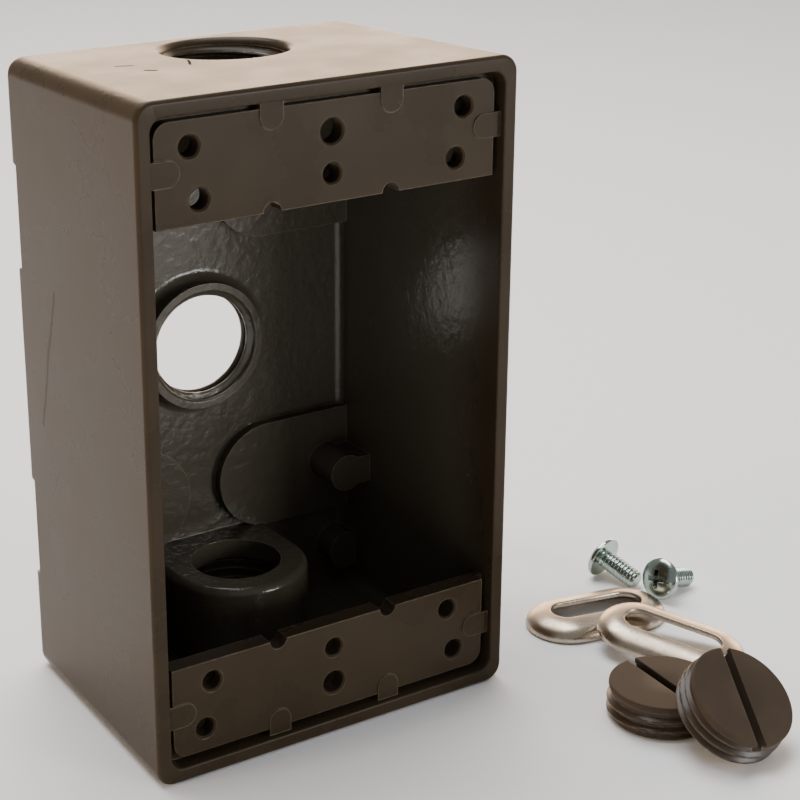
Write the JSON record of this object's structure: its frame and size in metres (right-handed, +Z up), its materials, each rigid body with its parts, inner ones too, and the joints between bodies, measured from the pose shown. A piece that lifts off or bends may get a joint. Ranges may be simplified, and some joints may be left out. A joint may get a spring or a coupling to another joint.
{
  "type": "electrical junction box",
  "caption": "Die-cast weatherproof one-gang outlet box with three threaded outlets and its loose kit of closure plugs, mounting lugs and lug screws.",
  "frame": {"origin": "centre of the bottom outlet's mouth, on the flat base the box stands on", "axes": "+Z up along the axis shared by the top and bottom outlets, +Y towards the wall side with the back outlet, -Y out of the open front, X across the width"},
  "size_m": [0.1241, 0.1008, 0.1143],
  "materials": {
    "bronze_casting": "die-cast aluminium under satin dark bronze paint",
    "bronze_plug": "die-cast aluminium under dark bronze paint, semi-matt face, glossier threads",
    "lug_steel": "pressed steel, warm satin plating",
    "zinc_steel": "bright zinc-plated steel"
  },
  "bodies": {
    "box": {"box_body": "bronze_casting"},
    "plug_left": {"closure_plug_left": "bronze_plug"},
    "plug_right": {"closure_plug_right": "bronze_plug"},
    "lug_left": {"mounting_lug_left": "lug_steel"},
    "lug_right": {"mounting_lug_right": "lug_steel"},
    "screw_left": {"lug_screw_left": "zinc_steel"},
    "screw_right": {"lug_screw_right": "zinc_steel"}
  },
  "joints": [
    {"name": "plug_left_lift", "type": "slide", "parent": "box", "child": "plug_left", "axis": [0, 0, 1], "range_m": [0, 0.04]},
    {"name": "plug_right_lift", "type": "slide", "parent": "plug_left", "child": "plug_right", "axis": [0, 0, 1], "range_m": [0, 0.04]},
    {"name": "lug_left_lift", "type": "slide", "parent": "box", "child": "lug_left", "axis": [0, 0, 1], "range_m": [0, 0.04]},
    {"name": "lug_right_lift", "type": "slide", "parent": "lug_left", "child": "lug_right", "axis": [0, 0, 1], "range_m": [0, 0.04]},
    {"name": "screw_left_lift", "type": "slide", "parent": "box", "child": "screw_left", "axis": [0, 0, 1], "range_m": [0, 0.04]},
    {"name": "screw_right_lift", "type": "slide", "parent": "box", "child": "screw_right", "axis": [0, 0, 1], "range_m": [0, 0.04]}
  ]
}
